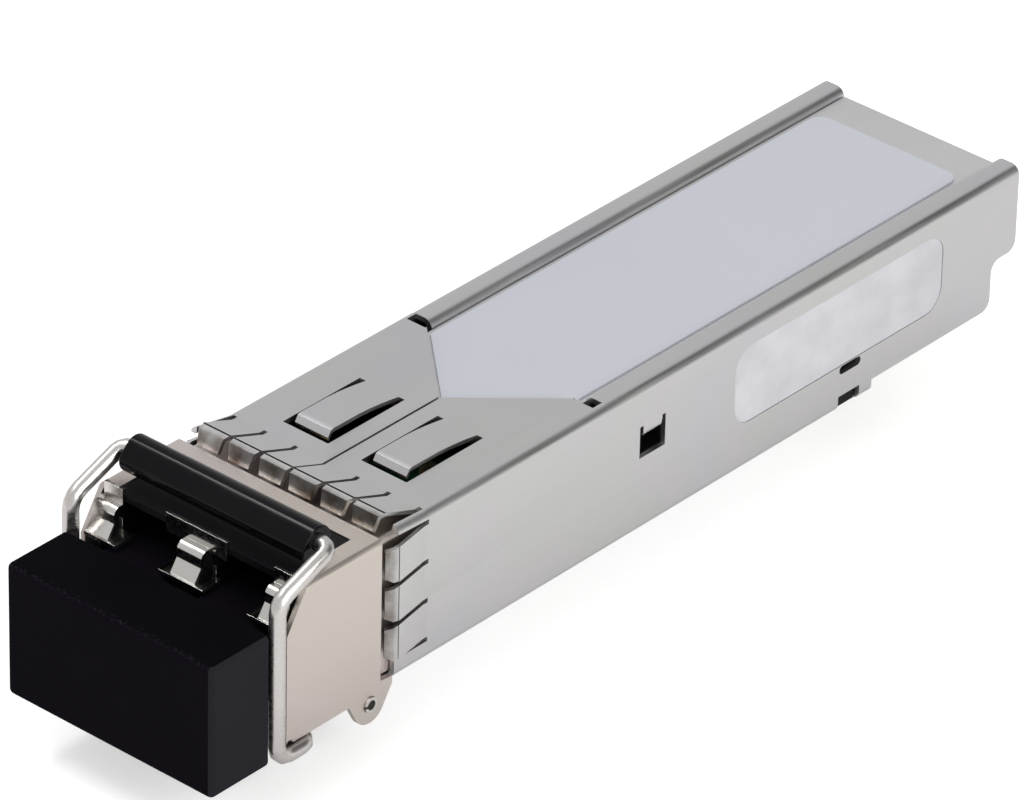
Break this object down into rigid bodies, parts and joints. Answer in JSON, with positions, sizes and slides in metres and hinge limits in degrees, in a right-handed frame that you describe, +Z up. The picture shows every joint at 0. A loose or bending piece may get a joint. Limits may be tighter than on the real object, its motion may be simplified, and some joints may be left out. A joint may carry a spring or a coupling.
{
  "type": "sfp plus transceiver",
  "caption": "Pluggable optical transceiver module with folded metal shell, duplex fibre ports under a soft dust plug, and a wire bail that frees its cage latch.",
  "frame": {"origin": "on the shell's flat underside, on the centre plane, midway between the nose's front edge and the rear end", "axes": "+Y towards the board's contact edge (the end that enters the cage first), +Z up from the underside, +X across"},
  "size_m": [0.0146, 0.0615, 0.0124],
  "materials": {
    "nickel_sheet": "satin nickel plating",
    "cover_sheet": "satin nickel plating",
    "nose_sheet": "warm satin nickel plating",
    "spring_metal": "bright rolled spring sheet",
    "bail_metal": "bright drawn wire",
    "pin_metal": "turned steel",
    "sleeve_black": "glossy moulded black",
    "housing_black": "matt moulded black",
    "plug_black": "soft matt black",
    "label_white": "satin film",
    "carrier_black": "matt moulded black",
    "barrel_metal": "turned steel",
    "can_metal": "gold-plated steel",
    "flex_amber": "polyimide film",
    "board_green": "solder mask",
    "contact_gold": "hard gold plating",
    "chip_black": "moulded epoxy",
    "ceramic_tan": "sintered ceramic"
  },
  "bodies": {
    "module": {"outer_shell": "nickel_sheet", "inner_cover": "cover_sheet", "top_label": "label_white", "side_labels": "label_white", "nose_shield": "nose_sheet", "receptacle": "housing_black", "ground_clip": "spring_metal", "latch_pin": "pin_metal", "latch_spring": "spring_metal", "transmit_barrel": "barrel_metal", "receive_barrel": "barrel_metal", "laser_can": "can_metal", "photodiode_can": "can_metal", "laser_flex": "flex_amber", "photodiode_flex": "flex_amber", "barrel_clamp": "spring_metal", "circuit_board": "board_green", "edge_contacts": "contact_gold", "driver_chip": "chip_black", "amplifier_chip": "chip_black", "controller_chip": "chip_black", "memory_chip": "chip_black", "chip_capacitors": "ceramic_tan", "board_carrier": "carrier_black"},
    "bail": {"bail_wire": "bail_metal", "bail_sleeve": "sleeve_black"},
    "latch": {"latch_lever": "spring_metal"},
    "plug": {"dust_plug": "plug_black"}
  },
  "joints": [
    {"name": "bail_swing", "type": "hinge", "parent": "module", "child": "bail", "pos_m": [0, -0.02633, -0.00045], "axis": [1, 0, 0], "range_deg": [0, 90]},
    {"name": "latch_release", "type": "hinge", "parent": "module", "child": "latch", "pos_m": [0, -0.02208, -0.00045], "axis": [1, 0, 0], "range_deg": [0, 5.5], "deforming": ["latch_spring"]},
    {"name": "dust_plug_pull", "type": "slide", "parent": "module", "child": "plug", "axis": [0, -1, 0], "range_m": [0, 0.0205]}
  ],
  "couplings": [
    {"joint": "latch_release", "follows": "bail_swing", "ratio": 0.06111},
    {"joint": "dust_plug_pull", "follows": "bail_swing", "m_per_rad": 0.013}
  ]
}
